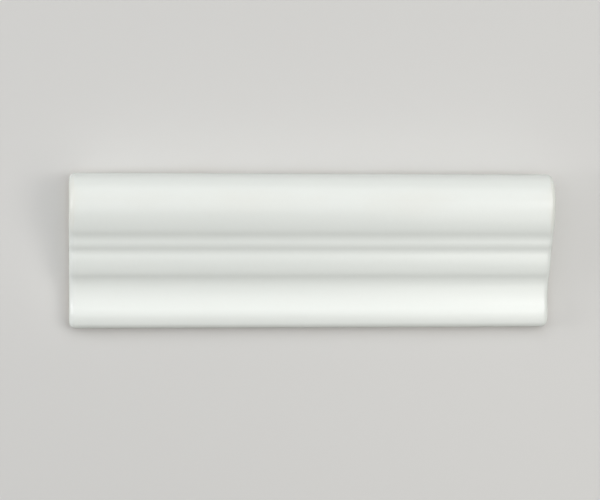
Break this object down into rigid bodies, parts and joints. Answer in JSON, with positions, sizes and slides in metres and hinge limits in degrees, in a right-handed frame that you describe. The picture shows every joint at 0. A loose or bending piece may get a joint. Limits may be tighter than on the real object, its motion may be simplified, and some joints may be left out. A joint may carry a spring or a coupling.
{
  "type": "ceramic moulding tile",
  "caption": "Straight glazed ceramic moulding tile: a full roll along the top edge, stepping down through a bead and an ovolo to a cove and rounded foot; beds flat on a wall as dado trim.",
  "frame": {"origin": "middle of the flat back, on the bedding plane", "axes": "+X along the wall, +Y towards the roll at the top edge, +Z out of the wall, away from the back"},
  "size_m": [0.2, 0.0638, 0.024],
  "materials": {
    "glaze": "glossy white glaze with a faint green tint over a pale fired body; the back is left unglazed"
  },
  "bodies": {
    "root": {"moulding_tile": "glaze"}
  },
  "joints": []
}
